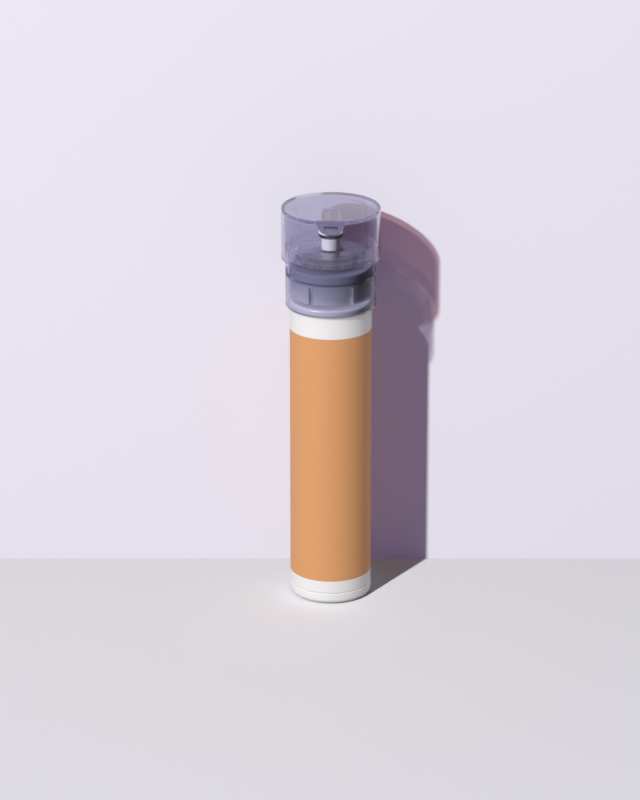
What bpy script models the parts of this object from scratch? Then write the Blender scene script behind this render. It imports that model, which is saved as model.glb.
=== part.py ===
"""Slim airless pump bottle for a tinted lotion: a white bottle with a follower piston, a snap-on
pump under two clear collars, and a clear press head that also turns. Metres, +Z up. The origin is
on the bottle's axis at the surface it stands on, and the spout points to -Y."""

import math

import bmesh
import bpy
from mathutils import Matrix, Vector

MM = 0.001

# Clearances shared by every piece
FIT_GAP = 0.3 * MM
OVERRUN = 2.0 * MM

# Heights that show from outside, from the foot up
CAP_HEIGHT = 4.0 * MM
LOWER_BAND = 4.6 * MM
LABEL_HEIGHT = 88.5 * MM
UPPER_BAND = 8.1 * MM
COLLAR_HEIGHT = 11.8 * MM
COLLAR_BAND = 4.9 * MM
HEAD_HEIGHT = 17.9 * MM

# Radii that show from outside
BODY_RADIUS = 14.0 * MM
COLLAR_STEP = 1.4 * MM
HEAD_STEP = 1.4 * MM

# Motions that shape the pieces
PRESS_TRAVEL = 3.8 * MM
PISTON_SLIP = 1.0 * MM
BALL_LIFT = 1.0 * MM
TWIST_RANGE = math.radians(90)

# Bottle
LABEL_THICKNESS = 0.2 * MM
BOTTLE_WALL = 1.3 * MM
BORE_MARGIN = 2.9 * MM
BORE_TAPER = 3.0 * MM
SHOULDER_RISE = 2.3 * MM
SHOULDER_FILLET = 0.9 * MM
NECK_STEP = 2.0 * MM
NECK_WALL = 1.6 * MM
NECK_SETBACK = 1.0 * MM
BEAD_DEPTH = 3.0 * MM
BEAD_HEIGHT = 1.5 * MM
BEAD_PROUD = 0.5 * MM

# Base cap
CAP_FILLET = 2.6 * MM
CAP_FLOOR = 1.4 * MM
PLUG_RISE = 5.0 * MM
PLUG_WALL = 1.2 * MM
FOOT_WIDTH = 1.3 * MM
FOOT_HEIGHT = 0.8 * MM
VENT_RADIUS = 0.8 * MM
NOTCH_WIDTH = 1.1 * MM
NOTCH_HEIGHT = 0.45 * MM
NOTCH_TURN = math.radians(11)

# Follower piston
FOLLOWER_HEIGHT = 15.7 * MM
FOLLOWER_GAP = 0.2 * MM
LIP_PROUD = 0.8 * MM
LIP_HEIGHT = 1.2 * MM
LIP_TAPER = 0.6 * MM
FOLLOWER_WALL = 1.0 * MM
WELL_CLEARANCE = 0.5 * MM
WELL_DEPTH = 10.0 * MM

# Pump housing, hung in the neck
GASKET_THICKNESS = 0.8 * MM
FLANGE_THICKNESS = 1.0 * MM
SEAL_SKIRT_WALL = 0.9 * MM
SEAL_SKIRT_DEPTH = 6.0 * MM
TOWER_RISE = 1.2 * MM
TOWER_BORE = 6.3 * MM
TOWER_WALL = 1.3 * MM
LEDGE_DEPTH = 9.1 * MM
CHAMBER_RADIUS = 4.5 * MM
CHAMBER_WALL = 1.2 * MM
CHAMBER_SPARE = 0.8 * MM
NOSE_CONE = 2.0 * MM
NOSE_RADIUS = 3.1 * MM
PORT_RADIUS = 0.9 * MM
PORT_LENGTH = 0.8 * MM
NUB_HEIGHT = 0.6 * MM
NUB_SETBACK = 0.1 * MM
NUB_WIDTH = 0.7 * MM
NUB_REACH = 0.9 * MM
NUB_COUNT = 3

# Inlet ball and its cage
BALL_RADIUS = 1.5 * MM
BALL_CLEARANCE = 0.4 * MM
BALL_SEAT_GAP = 0.1 * MM
BALL_STOP_GAP = 0.2 * MM

# Pump piston, rod, stem and spring
PISTON_HEIGHT = 4.0 * MM
PISTON_GAP = 0.2 * MM
PISTON_LIP = 0.4 * MM
PISTON_GROOVE = 1.1 * MM
PISTON_HUB_WALL = 1.4 * MM
ROD_RADIUS = 1.0 * MM
ROD_HEAD_RADIUS = 3.0 * MM
ROD_HEAD_THICKNESS = 1.0 * MM
ROD_REACH = 5.0 * MM
STEM_WALL = 0.8 * MM
STEM_TAIL_RISE = 0.7 * MM
STEM_FLANGE_THICKNESS = 1.0 * MM
WIRE = 0.6 * MM
SPRING_SIDE_GAP = 0.7 * MM
SPRING_TURNS = 6.5

# Pump cap and snap closure
PUMP_CAP_PLATE = 1.0 * MM
PUMP_CAP_SKIRT = 0.7 * MM
CLOSURE_LIP = 1.0 * MM
CLOSURE_HOOK = 2.2 * MM
SLIT_WIDTH = 1.0 * MM
SLIT_HEIGHT = 6.0 * MM
SLIT_PAIRS = 3

# Clear collars
COLLAR_WALL = 1.1 * MM
COLLAR_FILLET = 0.8 * MM
COLLAR_LINE_GAP = 0.3 * MM
SEAT_SKIRT_HEIGHT = 2.3 * MM
SEAT_SKIRT_WALL = 1.0 * MM
CHANNEL_FLOOR = 0.9 * MM
CHANNEL_INNER_WALL = 1.0 * MM
DECK_RISE = 2.0 * MM
DECK_THICKNESS = 1.0 * MM
RIM_RISE = 4.0 * MM
STOP_WIDTH = 1.2 * MM
STOP_RISE = 2.8 * MM
STOP_TURN_GAP = math.radians(2)

# Clear press head
HEAD_PLATE = 1.5 * MM
HEAD_EDGE = 0.3 * MM
HEAD_FILLET = 0.8 * MM
SKIRT_RADIUS = 12.6 * MM
SKIRT_WALL = 1.0 * MM
SKIRT_CLEARANCE = 0.4 * MM
FIN_WIDTH = 3.0 * MM
FIN_DEPTH = 0.8 * MM
FIN_TURN = math.radians(60)
BOSS_WALL = 1.0 * MM
BOSS_DEPTH = 3.8 * MM
BOSS_POCKET = 0.5 * MM
GROOVE_DEPTH = 0.3 * MM

# White core in the head
CORE_RADIUS = 3.2 * MM
CORE_EDGE = 0.3 * MM
CORE_TOP_WALL = 1.0 * MM
RING_RADIUS = 4.2 * MM
RING_THICKNESS = 0.6 * MM
RING_DROP = 8.5 * MM
RING_PITCH = 1.2 * MM
HOLE_CLEARANCE = 0.5 * MM
OUTLET_RADIUS = 1.2 * MM

# Spout in the head's front
SPOUT_RADIUS = 4.9 * MM
SPOUT_THICKNESS = 1.1 * MM
CHANNEL_WIDTH = 5.5 * MM
CHANNEL_HEIGHT = 2.4 * MM
SLOT_WIDTH = 4.6 * MM
SLOT_HEIGHT = 0.8 * MM
SLOT_TOP_WALL = 0.4 * MM

# Facets round each turned piece
WIDE_SIDES = 40
NARROW_SIDES = 24
SMALL_SIDES = 16
FILLET_STEPS = 3
SPRING_POINTS = 9

# Places worked out from the sizes above, in the order in which the pieces stack
FRONT = -math.pi / 2
label_bottom = CAP_HEIGHT + LOWER_BAND
label_top = label_bottom + LABEL_HEIGHT
collar_bottom = label_top + UPPER_BAND
collar_line = collar_bottom + COLLAR_HEIGHT
head_bottom = collar_line + COLLAR_BAND
head_top = head_bottom + HEAD_HEIGHT

collar_radius = BODY_RADIUS + COLLAR_STEP
collar_inner = collar_radius - COLLAR_WALL
head_radius = collar_radius + HEAD_STEP
head_inner = collar_radius + FIT_GAP

recess_radius = BODY_RADIUS - LABEL_THICKNESS - FIT_GAP
bore_radius = recess_radius - BOTTLE_WALL
bore_top = label_top + BORE_MARGIN
neck_radius = BODY_RADIUS - NECK_STEP
neck_bore = neck_radius - NECK_WALL
neck_top = collar_line - NECK_SETBACK
bead_radius = neck_radius + BEAD_PROUD
bead_top = neck_top - BEAD_DEPTH
bead_bottom = bead_top - BEAD_HEIGHT
shoulder_top = collar_bottom + SHOULDER_RISE

plug_radius = bore_radius - FIT_GAP
plug_top = CAP_HEIGHT + PLUG_RISE

gasket_bottom = neck_top + FIT_GAP
flange_bottom = gasket_bottom + GASKET_THICKNESS + FIT_GAP
flange_top = flange_bottom + FLANGE_THICKNESS
tower_top = flange_top + TOWER_RISE
tower_radius = TOWER_BORE + TOWER_WALL
ledge_top = neck_top - LEDGE_DEPTH
pump_cap_radius = tower_radius + FIT_GAP + PUMP_CAP_SKIRT
pump_cap_bottom = tower_top + FIT_GAP
pump_cap_top = pump_cap_bottom + PUMP_CAP_PLATE

closure_radius = collar_inner - FIT_GAP
closure_inner = bead_radius + FIT_GAP
closure_bottom = bead_bottom - FIT_GAP - CLOSURE_HOOK
closure_lip_bottom = flange_top + FIT_GAP
closure_top = closure_lip_bottom + CLOSURE_LIP

seat_bottom = closure_top + FIT_GAP
channel_bottom = seat_bottom + SEAT_SKIRT_HEIGHT
channel_top = channel_bottom + CHANNEL_FLOOR
channel_inner = SKIRT_RADIUS - SKIRT_WALL - SKIRT_CLEARANCE
deck_top = channel_top + DECK_RISE
rim_top = channel_top + RIM_RISE

skirt_bottom = channel_top + FIT_GAP + PRESS_TRAVEL
plate_bottom = head_top - HEAD_PLATE
core_bottom = pump_cap_top + FIT_GAP + PRESS_TRAVEL
core_top = head_top - RING_DROP
core_bore_top = core_top - CORE_TOP_WALL
riser_top = plate_bottom + BOSS_POCKET - FIT_GAP
riser_bottom = core_top + FIT_GAP

stem_bore = ROD_RADIUS + FIT_GAP
stem_radius = stem_bore + STEM_WALL
stem_top = core_bore_top - FIT_GAP
stem_bottom = ledge_top + STEM_TAIL_RISE
stem_flange_bottom = tower_top - STEM_FLANGE_THICKNESS
piston_top = stem_bottom - FIT_GAP - PISTON_SLIP
piston_bottom = piston_top - PISTON_HEIGHT
rod_head_top = piston_bottom - FIT_GAP
rod_head_bottom = rod_head_top - ROD_HEAD_THICKNESS
chamber_floor = rod_head_bottom - PRESS_TRAVEL - CHAMBER_SPARE
chamber_outer = CHAMBER_RADIUS + CHAMBER_WALL
cage_radius = BALL_RADIUS + BALL_CLEARANCE
nub_bottom = chamber_floor - NUB_SETBACK - NUB_HEIGHT
ball_centre = nub_bottom - BALL_STOP_GAP - BALL_LIFT - BALL_RADIUS
seat_height = ball_centre + PORT_RADIUS - math.sqrt(2) * (BALL_RADIUS + BALL_SEAT_GAP)
nose_bottom = seat_height - PORT_LENGTH

spring_bottom = ledge_top + FIT_GAP
spring_top = stem_flange_bottom - FIT_GAP
spring_radius = TOWER_BORE - SPRING_SIDE_GAP - WIRE / 2

spout_face = -math.sqrt(head_radius**2 - SPOUT_RADIUS**2)
nozzle_top = plate_bottom + GROOVE_DEPTH - FIT_GAP
nozzle_bottom = nozzle_top - CHANNEL_HEIGHT
slot_top = nozzle_top - SLOT_TOP_WALL
slot_middle = slot_top - SLOT_HEIGHT / 2


# Collections and materials
def new_collection(name):
    """A collection linked to the scene."""
    made = bpy.data.collections.new(name)
    bpy.context.scene.collection.children.link(made)
    return made


def plastic(name, colour, roughness, metallic=0.0, alpha=1.0):
    """A Principled material."""
    made = bpy.data.materials.new(name)
    made.use_nodes = True
    shader = made.node_tree.nodes["Principled BSDF"]
    shader.inputs["Base Color"].default_value = (*colour, 1)
    shader.inputs["Roughness"].default_value = roughness
    shader.inputs["Metallic"].default_value = metallic
    shader.inputs["Alpha"].default_value = alpha
    made.diffuse_color = (*colour, alpha)
    return made


# Shapes
def add(name, mesh, material, collection):
    """A named object for a finished mesh."""
    made = bpy.data.objects.new(name, mesh)
    if material:
        mesh.materials.append(material)
    collection.objects.link(made)
    return made


def arc(centre, radius, start, end):
    """Points of an outline's round corner, from one angle in degrees to another."""
    points = []
    for step in range(FILLET_STEPS + 1):
        angle = math.radians(start + (end - start) * step / FILLET_STEPS)
        across = centre[0] + radius * math.cos(angle)
        points.append((across, centre[1] + radius * math.sin(angle)))
    return points


def turned(name, outline, sides, material, collection):
    """A piece turned about Z. Its outline runs down the outer side, and closes off the axis."""
    mesh = bpy.data.meshes.new(name)
    count = len(outline)
    edges = [(step, step + 1) for step in range(count - 1)]
    if outline[0][0] > 0:
        edges.append((count - 1, 0))
    mesh.from_pydata([(across, 0, height) for across, height in outline], edges, [])
    made = add(name, mesh, material, collection)
    screw = made.modifiers.new("turn", "SCREW")
    screw.axis = "Z"
    screw.angle = 2 * math.pi
    screw.steps = sides
    screw.render_steps = sides
    screw.use_merge_vertices = True
    screw.merge_threshold = 0.00001
    screw.use_smooth_shade = True
    return made


def block(name, size, middle, turn, material, collection):
    """A box with its sizes and the place of its middle, turned about the axis."""
    made_mesh = bmesh.new()
    bmesh.ops.create_cube(made_mesh, size=1)
    bmesh.ops.scale(made_mesh, vec=size, verts=made_mesh.verts)
    mesh = bpy.data.meshes.new(name)
    made_mesh.to_mesh(mesh)
    made_mesh.free()
    made = add(name, mesh, material, collection)
    made.rotation_euler = (0, 0, turn)
    made.location = Matrix.Rotation(turn, 3, "Z") @ Vector(middle)
    return made


def disc_along_y(name, radius, front, back, height, collection, material=None):
    """A round bar that lies along Y, between two places on it."""
    made_mesh = bmesh.new()
    bmesh.ops.create_cone(
        made_mesh,
        cap_ends=True,
        segments=NARROW_SIDES * 2,
        radius1=radius,
        radius2=radius,
        depth=back - front,
    )
    mesh = bpy.data.meshes.new(name)
    made_mesh.to_mesh(mesh)
    made_mesh.free()
    made = add(name, mesh, material, collection)
    made.rotation_euler = (math.pi / 2, 0, 0)
    made.location = (0, (front + back) / 2, height)
    return made


def boolean(piece, other, operation):
    """Cuts a piece by another, or joins the two."""
    step = piece.modifiers.new(other.name, "BOOLEAN")
    step.operation = operation
    step.solver = "EXACT"
    step.object = other
    other.hide_render = True
    other.display_type = "WIRE"


def parent_on_axis(name, height, pieces, collection, above=None):
    """An empty on a joint's axis that carries the pieces it moves."""
    holder = bpy.data.objects.new(name, None)
    collection.objects.link(holder)
    holder.location = (0, 0, height)
    holder.empty_display_size = BODY_RADIUS
    if above:
        holder.parent = above
        holder.matrix_parent_inverse = Matrix.Translation(-Vector(above.location))
    for piece in pieces:
        piece.parent = holder
        piece.matrix_parent_inverse = Matrix.Translation((0, 0, -height))
    return holder


# Bottle, base cap, label and follower
def make_bottle(look, parts):
    """The white bottle: a snap neck, a shoulder, a recess for the label and a straight bore."""
    outline = [(neck_bore, neck_top), (neck_radius, neck_top)]
    outline += [(neck_radius, bead_top), (bead_radius, bead_top - BEAD_PROUD)]
    outline += [(bead_radius, bead_bottom), (neck_radius, bead_bottom)]
    outline += [(neck_radius, shoulder_top)]
    corner = (BODY_RADIUS - SHOULDER_FILLET, shoulder_top - SHOULDER_FILLET)
    outline += arc(corner, SHOULDER_FILLET, 90, 0)
    outline += [(BODY_RADIUS, label_top + FIT_GAP), (recess_radius, label_top + FIT_GAP)]
    outline += [(recess_radius, label_bottom - FIT_GAP), (BODY_RADIUS, label_bottom - FIT_GAP)]
    outline += [(BODY_RADIUS, CAP_HEIGHT + FIT_GAP), (bore_radius, CAP_HEIGHT + FIT_GAP)]
    outline += [(bore_radius, bore_top), (neck_bore, bore_top + BORE_TAPER)]
    return turned("bottle", outline, WIDE_SIDES, look["white"], parts)


def make_base_cap(look, parts, cutters):
    """The snapped-in base: a round-edged foot, a plug in the bore, a vent hole and a vent notch."""
    foot_outer = BODY_RADIUS - CAP_FILLET
    foot_inner = foot_outer - FOOT_WIDTH
    plug_inner = plug_radius - PLUG_WALL
    outline = [(plug_inner, plug_top), (plug_radius, plug_top), (plug_radius, CAP_HEIGHT)]
    outline += [(BODY_RADIUS, CAP_HEIGHT)]
    outline += arc((foot_outer, CAP_FILLET), CAP_FILLET, 0, -90)
    outline += [(foot_inner, 0), (foot_inner - FOOT_HEIGHT, FOOT_HEIGHT)]
    outline += [(VENT_RADIUS, FOOT_HEIGHT), (VENT_RADIUS, FOOT_HEIGHT + CAP_FLOOR)]
    outline += [(plug_inner, FOOT_HEIGHT + CAP_FLOOR)]
    cap = turned("base_cap", outline, WIDE_SIDES, look["white"], parts)
    reach = BODY_RADIUS - foot_inner + 2 * FOOT_HEIGHT + OVERRUN
    size = (reach, NOTCH_WIDTH, 2 * NOTCH_HEIGHT)
    middle = (BODY_RADIUS + OVERRUN - reach / 2, 0, 0)
    boolean(cap, block("vent_notch", size, middle, FRONT + NOTCH_TURN, None, cutters), "DIFFERENCE")
    return cap


def make_label(look, parts):
    """The printed wrap, flush in the bottle's recess."""
    inner = BODY_RADIUS - LABEL_THICKNESS
    outline = [(inner, label_top), (BODY_RADIUS, label_top)]
    outline += [(BODY_RADIUS, label_bottom), (inner, label_bottom)]
    return turned("label_wrap", outline, WIDE_SIDES, look["tan"], parts)


def make_follower(look, parts):
    """The piston that follows the lotion up the bore, with a lip at each end and a centre well."""
    lip = bore_radius - FOLLOWER_GAP
    side = lip - LIP_PROUD
    inner = side - FOLLOWER_WALL
    bottom = plug_top + FIT_GAP
    top = bottom + FOLLOWER_HEIGHT
    well = chamber_outer + WELL_CLEARANCE
    well_floor = top - WELL_DEPTH
    outline = [(0, well_floor), (well, well_floor), (well, top), (side, top)]
    outline += [(lip, top - LIP_TAPER), (lip, top - LIP_HEIGHT)]
    outline += [(side, top - LIP_HEIGHT - LIP_TAPER), (side, bottom + LIP_HEIGHT + LIP_TAPER)]
    outline += [(lip, bottom + LIP_HEIGHT), (lip, bottom + LIP_TAPER), (side, bottom)]
    outline += [(inner, bottom), (inner, top - FOLLOWER_WALL)]
    outline += [(well + FOLLOWER_WALL, top - FOLLOWER_WALL)]
    outline += [(well + FOLLOWER_WALL, well_floor - FOLLOWER_WALL)]
    outline += [(0, well_floor - FOLLOWER_WALL)]
    return turned("follower_piston", outline, WIDE_SIDES, look["natural"], parts)


# Pump
def make_gasket(look, parts):
    """The soft ring between the neck and the pump's flange."""
    inner = neck_bore + FIT_GAP
    outline = [(inner, gasket_bottom + GASKET_THICKNESS)]
    outline += [(neck_radius, gasket_bottom + GASKET_THICKNESS), (neck_radius, gasket_bottom)]
    outline += [(inner, gasket_bottom)]
    return turned("neck_gasket", outline, NARROW_SIDES, look["soft"], parts)


def make_housing(look, parts, cutters):
    """The pump's body: flange, neck seal, spring tower, pump chamber and the inlet ball's cage."""
    skirt = neck_bore - FIT_GAP
    skirt_bottom_end = flange_bottom - SEAL_SKIRT_DEPTH
    skirt_inner = skirt - SEAL_SKIRT_WALL
    outline = [(TOWER_BORE, tower_top), (tower_radius, tower_top), (tower_radius, flange_top)]
    outline += [(bead_radius, flange_top), (bead_radius, flange_bottom), (skirt, flange_bottom)]
    outline += [(skirt, skirt_bottom_end), (skirt_inner, skirt_bottom_end)]
    outline += [(skirt_inner, flange_bottom), (tower_radius, flange_bottom)]
    outline += [(tower_radius, ledge_top - CHAMBER_WALL), (chamber_outer, ledge_top - CHAMBER_WALL)]
    outline += [(chamber_outer, nose_bottom + NOSE_CONE), (NOSE_RADIUS, nose_bottom)]
    outline += [(PORT_RADIUS, nose_bottom), (PORT_RADIUS, seat_height)]
    outline += [(cage_radius, seat_height + cage_radius - PORT_RADIUS)]
    outline += [(cage_radius, chamber_floor), (CHAMBER_RADIUS, chamber_floor)]
    outline += [(CHAMBER_RADIUS, ledge_top), (TOWER_BORE, ledge_top)]
    housing = turned("pump_housing", outline, NARROW_SIDES, look["natural"], parts)
    size = (NUB_REACH + CHAMBER_WALL, NUB_WIDTH, NUB_HEIGHT)
    middle = (cage_radius - NUB_REACH + size[0] / 2, 0, nub_bottom + NUB_HEIGHT / 2)
    for number in range(NUB_COUNT):
        turn = 2 * math.pi * number / NUB_COUNT
        nub = block(f"ball_stop_{number + 1}", size, middle, turn, None, cutters)
        boolean(housing, nub, "UNION")
    return housing


def make_ball(look, parts):
    """The inlet valve's ball, on its cone seat."""
    made_mesh = bmesh.new()
    bmesh.ops.create_uvsphere(
        made_mesh, u_segments=SMALL_SIDES, v_segments=SMALL_SIDES // 2, radius=BALL_RADIUS
    )
    mesh = bpy.data.meshes.new("inlet_ball")
    made_mesh.to_mesh(mesh)
    made_mesh.free()
    mesh.shade_smooth()
    ball = add("inlet_ball", mesh, look["steel"], parts)
    ball.location = (0, 0, ball_centre)
    return ball


def make_pump_piston(look, parts):
    """The sliding seal: a hub on the rod and an outer wall with a lip at each end."""
    lip = CHAMBER_RADIUS - PISTON_GAP
    side = lip - PISTON_LIP
    hub = ROD_RADIUS + FIT_GAP
    hub_outer = hub + PISTON_HUB_WALL
    outline = [(hub, piston_top), (hub_outer, piston_top)]
    outline += [(hub_outer, piston_top - PISTON_GROOVE), (side - PISTON_LIP, piston_top - PISTON_GROOVE)]
    outline += [(lip - PISTON_LIP / 2, piston_top), (lip, piston_top), (side, piston_top - PISTON_GROOVE)]
    outline += [(side, piston_bottom + PISTON_GROOVE), (lip, piston_bottom)]
    outline += [(lip - PISTON_LIP / 2, piston_bottom)]
    outline += [(side - PISTON_LIP, piston_bottom + PISTON_GROOVE)]
    outline += [(hub_outer, piston_bottom + PISTON_GROOVE), (hub_outer, piston_bottom)]
    outline += [(hub, piston_bottom)]
    return turned("pump_piston", outline, NARROW_SIDES, look["natural"], parts)


def make_rod(look, parts):
    """The piston rod: a valve head under the piston and a shank up inside the stem."""
    outline = [(0, stem_bottom + ROD_REACH), (ROD_RADIUS, stem_bottom + ROD_REACH)]
    outline += [(ROD_RADIUS, rod_head_top), (ROD_HEAD_RADIUS, rod_head_top)]
    outline += [(ROD_HEAD_RADIUS, rod_head_bottom), (0, rod_head_bottom)]
    return turned("piston_rod", outline, SMALL_SIDES, look["natural"], parts)


def make_stem(look, parts):
    """The hollow stem, with the flange that the spring lifts."""
    flange = TOWER_BORE - FIT_GAP
    outline = [(stem_bore, stem_top), (stem_radius, stem_top), (stem_radius, tower_top)]
    outline += [(flange, tower_top), (flange, stem_flange_bottom)]
    outline += [(stem_radius, stem_flange_bottom), (stem_radius, stem_bottom)]
    outline += [(stem_bore, stem_bottom)]
    return turned("pump_stem", outline, NARROW_SIDES, look["natural"], parts)


def least_gap(points, diameter):
    """The least space between two places of a winding more than half a turn apart."""
    apart = SPRING_POINTS // 2 + 1
    least = math.inf
    for first, point in enumerate(points):
        for other in points[first + apart :]:
            least = min(least, (point - other).length - diameter)
    return least


def make_spring(look, parts):
    """The return spring: one helix between the housing's ledge and the stem's flange."""
    low = spring_bottom + WIRE / 2
    rise = spring_top - spring_bottom - WIRE
    count = round(SPRING_TURNS * SPRING_POINTS)
    points = []
    for step in range(count + 1):
        angle = 2 * math.pi * SPRING_TURNS * step / count
        across = spring_radius * math.cos(angle)
        points.append(Vector((across, spring_radius * math.sin(angle), low + rise * step / count)))
    curve = bpy.data.curves.new("return_spring", "CURVE")
    curve.dimensions = "3D"
    curve.bevel_depth = WIRE / 2
    curve.bevel_resolution = 1
    curve.use_fill_caps = True
    path = curve.splines.new("POLY")
    path.points.add(count)
    for place, point in zip(path.points, points):
        place.co = (*point, 1)
    spring = bpy.data.objects.new("return_spring", curve)
    curve.materials.append(look["steel"])
    parts.objects.link(spring)
    print(f"least gap in the return spring: {least_gap(points, WIRE) / MM:.2f} mm")
    return spring


def make_pump_cap(look, parts):
    """The plate that closes the spring tower and guides the stem."""
    hole = stem_radius + FIT_GAP
    inner = tower_radius + FIT_GAP
    bottom = flange_top + FIT_GAP
    outline = [(hole, pump_cap_top), (pump_cap_radius, pump_cap_top), (pump_cap_radius, bottom)]
    outline += [(inner, bottom), (inner, pump_cap_bottom), (hole, pump_cap_bottom)]
    return turned("pump_cap", outline, NARROW_SIDES, look["natural"], parts)


def make_closure(look, parts, cutters):
    """The snap-on ring that holds the pump's flange on the neck, slit into spring fingers."""
    lip = pump_cap_radius + FIT_GAP
    hook = neck_radius + FIT_GAP
    hook_top = bead_bottom - FIT_GAP
    outline = [(lip, closure_top), (closure_radius, closure_top), (closure_radius, closure_bottom)]
    outline += [(hook, closure_bottom), (hook, hook_top), (closure_inner, hook_top)]
    outline += [(closure_inner, closure_lip_bottom), (lip, closure_lip_bottom)]
    closure = turned("snap_closure", outline, WIDE_SIDES, look["clear"], parts)
    size = (2 * (closure_radius + OVERRUN), SLIT_WIDTH, SLIT_HEIGHT + OVERRUN)
    middle = (0, 0, closure_bottom + (SLIT_HEIGHT - OVERRUN) / 2)
    for number in range(SLIT_PAIRS):
        turn = math.pi * number / SLIT_PAIRS
        slit = block(f"finger_slit_{number + 1}", size, middle, turn, None, cutters)
        boolean(closure, slit, "DIFFERENCE")
    return closure


# Clear collars
def make_lower_collar(look, parts):
    """The lower clear collar, over the closure and the bottle's shoulder."""
    top = collar_line - COLLAR_LINE_GAP / 2
    corner = (collar_radius - COLLAR_FILLET, collar_bottom + COLLAR_FILLET)
    outline = [(collar_inner, top), (collar_radius, top)]
    outline += arc(corner, COLLAR_FILLET, 0, -90)
    outline += [(collar_inner, collar_bottom)]
    return turned("lower_collar", outline, WIDE_SIDES, look["clear"], parts)


def make_lock_collar(look, parts, cutters):
    """The upper clear collar: a channel for the head's skirt, a deck round the stem, turn stops."""
    bottom = collar_line + COLLAR_LINE_GAP / 2
    seat_inner = channel_inner
    seat_outer = seat_inner + SEAT_SKIRT_WALL
    under_deck = channel_inner - CHANNEL_INNER_WALL
    hole = RING_RADIUS + HOLE_CLEARANCE
    outline = [(collar_inner, rim_top), (collar_radius, rim_top), (collar_radius, bottom)]
    outline += [(collar_inner, bottom), (collar_inner, channel_bottom)]
    outline += [(seat_outer, channel_bottom), (seat_outer, seat_bottom)]
    outline += [(seat_inner, seat_bottom), (seat_inner, channel_bottom)]
    outline += [(under_deck, channel_bottom), (under_deck, deck_top - DECK_THICKNESS)]
    outline += [(hole, deck_top - DECK_THICKNESS), (hole, deck_top), (channel_inner, deck_top)]
    outline += [(channel_inner, channel_top), (collar_inner, channel_top)]
    collar = turned("lock_collar", outline, WIDE_SIDES, look["clear"], parts)
    inner = SKIRT_RADIUS + FIT_GAP
    outer = (collar_inner + collar_radius) / 2
    bottom = channel_bottom + CHANNEL_FLOOR / 2
    size = (outer - inner, STOP_WIDTH, rim_top + STOP_RISE - bottom)
    middle = ((inner + outer) / 2, 0, bottom + size[2] / 2)
    half_turn = math.asin((FIN_WIDTH + STOP_WIDTH) / 2 / SKIRT_RADIUS) + STOP_TURN_GAP
    for number, turn in enumerate((-half_turn, TWIST_RANGE + half_turn)):
        stop = block(f"turn_stop_{number + 1}", size, middle, FRONT + FIN_TURN + turn, None, cutters)
        boolean(collar, stop, "UNION")
    return collar


# Press head
def make_head_shell(look, parts, cutters):
    """The clear head: a flat plate, an outer wall, an inner skirt with a fin, and the core's boss."""
    corner = (head_radius - HEAD_FILLET, head_bottom + HEAD_FILLET)
    boss_inner = CORE_RADIUS + FIT_GAP
    boss_outer = boss_inner + BOSS_WALL
    boss_bottom = plate_bottom - BOSS_DEPTH
    skirt_inner = SKIRT_RADIUS - SKIRT_WALL
    outline = [(0, head_top), (head_radius - HEAD_EDGE, head_top)]
    outline += [(head_radius, head_top - HEAD_EDGE)]
    outline += arc(corner, HEAD_FILLET, 0, -90)
    outline += [(head_inner, head_bottom), (head_inner, plate_bottom), (SKIRT_RADIUS, plate_bottom)]
    outline += [(SKIRT_RADIUS, skirt_bottom), (skirt_inner, skirt_bottom)]
    outline += [(skirt_inner, plate_bottom), (boss_outer, plate_bottom), (boss_outer, boss_bottom)]
    outline += [(boss_inner, boss_bottom), (boss_inner, plate_bottom + BOSS_POCKET)]
    outline += [(0, plate_bottom + BOSS_POCKET)]
    shell = turned("head_shell", outline, WIDE_SIDES, look["clear"], parts)
    height = plate_bottom - skirt_bottom
    size = (FIN_DEPTH + SKIRT_WALL / 2, FIN_WIDTH, height)
    middle = (SKIRT_RADIUS + FIN_DEPTH - size[0] / 2, 0, skirt_bottom + height / 2 + HEAD_EDGE)
    fin = block("lock_fin", size, middle, FRONT + FIN_TURN, None, cutters)
    boolean(shell, fin, "UNION")
    front = -head_radius - OVERRUN
    size = (CHANNEL_WIDTH + 2 * FIT_GAP, -front, CHANNEL_HEIGHT + 2 * FIT_GAP)
    middle = (0, front / 2, nozzle_bottom - FIT_GAP + size[2] / 2)
    boolean(shell, block("nozzle_way", size, middle, 0, None, cutters), "DIFFERENCE")
    back = spout_face + SPOUT_THICKNESS + FIT_GAP
    spout = disc_along_y("spout_opening", SPOUT_RADIUS, front, back, head_top, cutters)
    boolean(shell, spout, "DIFFERENCE")
    return shell


def make_core(look, parts):
    """The white core: a socket for the stem with two rings at its top and an outlet hole."""
    bore = stem_radius + FIT_GAP
    ring_bottom = core_top - RING_THICKNESS
    second_top = core_top - RING_PITCH
    second_bottom = second_top - RING_THICKNESS
    outline = [(OUTLET_RADIUS, core_top), (RING_RADIUS, core_top), (RING_RADIUS, ring_bottom)]
    outline += [(CORE_RADIUS, ring_bottom), (CORE_RADIUS, second_top)]
    outline += [(RING_RADIUS, second_top), (RING_RADIUS, second_bottom)]
    outline += [(CORE_RADIUS, second_bottom), (CORE_RADIUS, core_bottom + CORE_EDGE)]
    outline += [(CORE_RADIUS - CORE_EDGE, core_bottom), (bore, core_bottom)]
    outline += [(bore, core_bore_top), (OUTLET_RADIUS, core_bore_top)]
    return turned("head_core", outline, NARROW_SIDES, look["white"], parts)


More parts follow.
